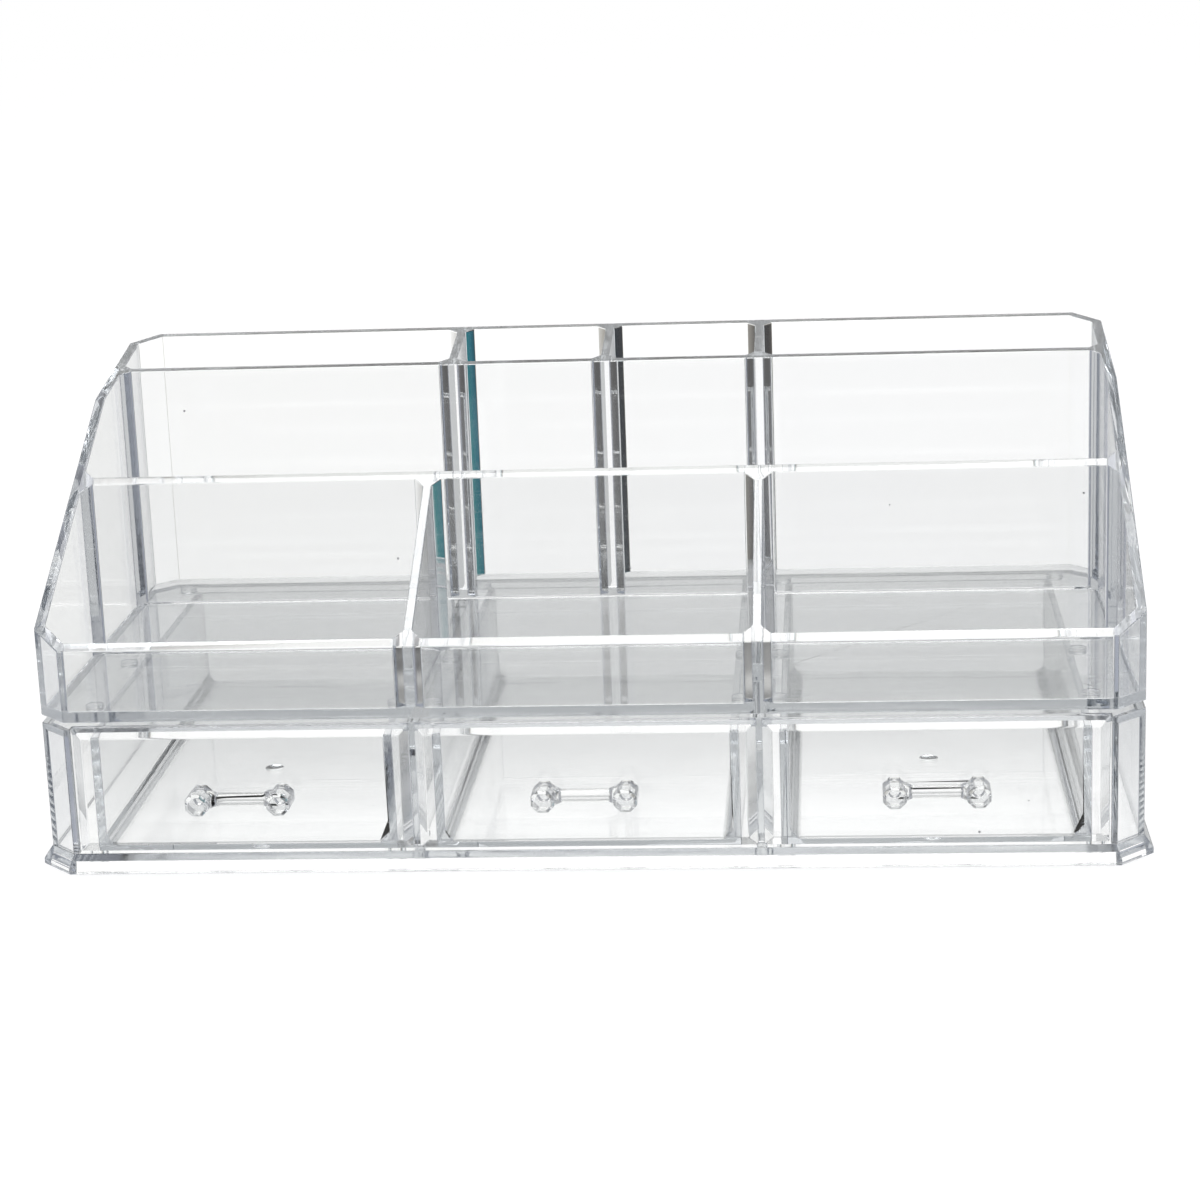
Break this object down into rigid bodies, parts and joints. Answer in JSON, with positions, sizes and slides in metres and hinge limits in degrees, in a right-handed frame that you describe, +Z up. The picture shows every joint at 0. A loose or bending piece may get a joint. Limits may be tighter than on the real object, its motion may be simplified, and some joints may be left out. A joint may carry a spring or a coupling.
{
  "type": "drawer organizer",
  "caption": "Clear moulded organizer: an open stepped tray of compartments with a falling rim, standing on a low housing with drawers side by side and a flared base.",
  "frame": {"origin": "middle of the whole object's footprint, on the plane its feet rest on", "axes": "+X along the width, to the right when facing the drawers; -Y is the drawer side; +Z up"},
  "size_m": [0.305, 0.1616, 0.1244],
  "materials": {
    "tray_clear": "polished clear polystyrene",
    "housing_clear": "polished clear polystyrene",
    "base_clear": "polished clear polystyrene",
    "drawer_clear": "polished clear polystyrene",
    "handle_clear": "polished clear polystyrene",
    "foot_clear": "clear moulded plastic"
  },
  "bodies": {
    "housing": {"drawer_housing": "housing_clear", "base_plate": "base_clear", "foot_front_1": "foot_clear", "foot_front_2": "foot_clear", "foot_front_3": "foot_clear", "foot_front_4": "foot_clear", "foot_rear_1": "foot_clear", "foot_rear_2": "foot_clear", "foot_rear_3": "foot_clear", "foot_rear_4": "foot_clear"},
    "tray": {"compartment_tray": "tray_clear", "tray_pad_front_1": "foot_clear", "tray_pad_front_2": "foot_clear", "tray_pad_front_3": "foot_clear", "tray_pad_front_4": "foot_clear", "tray_pad_front_5": "foot_clear", "tray_pad_front_6": "foot_clear", "tray_pad_middle_1": "foot_clear", "tray_pad_middle_2": "foot_clear", "tray_pad_middle_3": "foot_clear", "tray_pad_middle_4": "foot_clear", "tray_pad_middle_5": "foot_clear", "tray_pad_middle_6": "foot_clear", "tray_pad_rear_1": "foot_clear", "tray_pad_rear_2": "foot_clear", "tray_pad_rear_3": "foot_clear", "tray_pad_rear_4": "foot_clear", "tray_pad_rear_5": "foot_clear", "tray_pad_rear_6": "foot_clear"},
    "left_drawer": {"drawer_left": "drawer_clear", "handle_left": "handle_clear"},
    "middle_drawer": {"drawer_middle": "drawer_clear", "handle_middle": "handle_clear"},
    "right_drawer": {"drawer_right": "drawer_clear", "handle_right": "handle_clear"}
  },
  "joints": [
    {"name": "drawer_left_slide", "type": "slide", "parent": "housing", "child": "left_drawer", "axis": [0, -1, 0], "range_m": [0, 0.1]},
    {"name": "drawer_middle_slide", "type": "slide", "parent": "housing", "child": "middle_drawer", "axis": [0, -1, 0], "range_m": [0, 0.1]},
    {"name": "drawer_right_slide", "type": "slide", "parent": "housing", "child": "right_drawer", "axis": [0, -1, 0], "range_m": [0, 0.1]},
    {"name": "tray_lift", "type": "slide", "parent": "housing", "child": "tray", "axis": [0, 0, 1], "range_m": [0, 0.08]}
  ]
}
